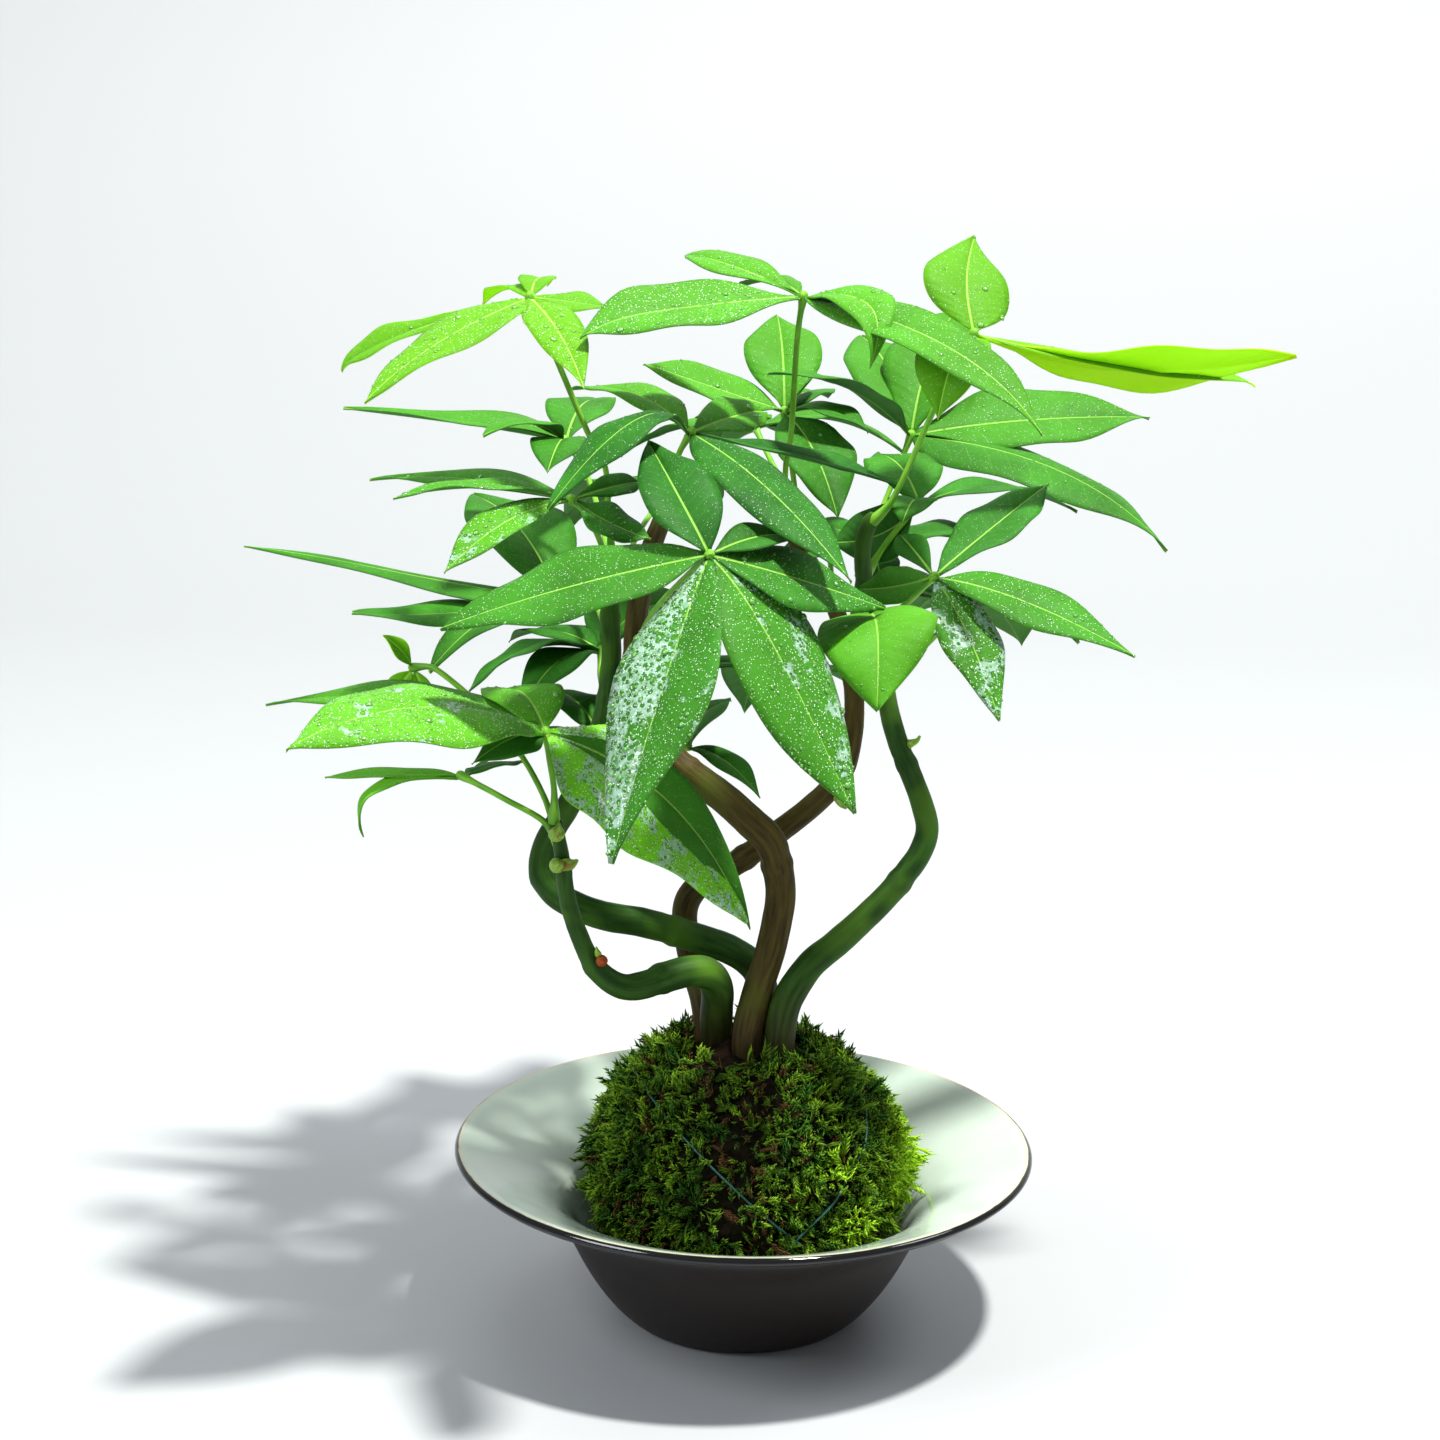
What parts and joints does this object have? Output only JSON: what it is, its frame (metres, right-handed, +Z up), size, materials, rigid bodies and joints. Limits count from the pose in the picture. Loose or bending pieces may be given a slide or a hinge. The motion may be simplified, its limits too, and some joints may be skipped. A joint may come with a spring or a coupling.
{
  "type": "kokedama moss ball plant",
  "caption": "Money tree with curved stems and palmate leaves, its root ball wrapped in moss and set in a shallow glazed bowl.",
  "frame": {"origin": "centre of the bowl's foot, on the surface it stands on", "axes": "+Z up along the bowl's axis, -Y towards the side that the picture shows, +X to that side's right"},
  "size_m": [0.2623, 0.2311, 0.2729],
  "materials": {
    "bowl_glaze": "gloss",
    "soil": "matte",
    "moss": "matte",
    "thread": "satin",
    "green_bark": "satin",
    "brown_bark": "satin",
    "grown_leaf": "satin",
    "young_leaf": "satin"
  },
  "bodies": {
    "root": {"bowl": "bowl_glaze", "soil_ball": "soil", "moss_coat": "moss", "binding_thread": "thread", "stem_front": "green_bark", "stem_loop": "green_bark", "stem_right": "green_bark", "stem_middle": "brown_bark", "stem_rear": "brown_bark", "leaf_front": "grown_leaf", "leaf_crown": "grown_leaf", "leaf_upper_middle": "grown_leaf", "leaf_left_middle": "grown_leaf", "leaf_right": "grown_leaf", "leaf_lower_left": "grown_leaf", "leaf_heart": "grown_leaf", "leaf_back_middle": "grown_leaf", "leaf_back_right": "grown_leaf", "leaf_right_inner": "grown_leaf", "leaf_left_back": "grown_leaf", "leaf_left_high": "grown_leaf", "leaf_small_left": "grown_leaf", "leaf_inner_left": "grown_leaf", "leaf_loop_low": "grown_leaf", "leaf_inner_low": "grown_leaf", "leaf_inner_middle": "grown_leaf", "leaf_rear_left": "grown_leaf", "leaf_rear_middle": "grown_leaf", "leaf_rear_right": "grown_leaf", "leaf_rear_low": "grown_leaf", "leaf_upper_left": "young_leaf", "leaf_top_right": "young_leaf", "young_shoot": "young_leaf"}
  },
  "joints": []
}
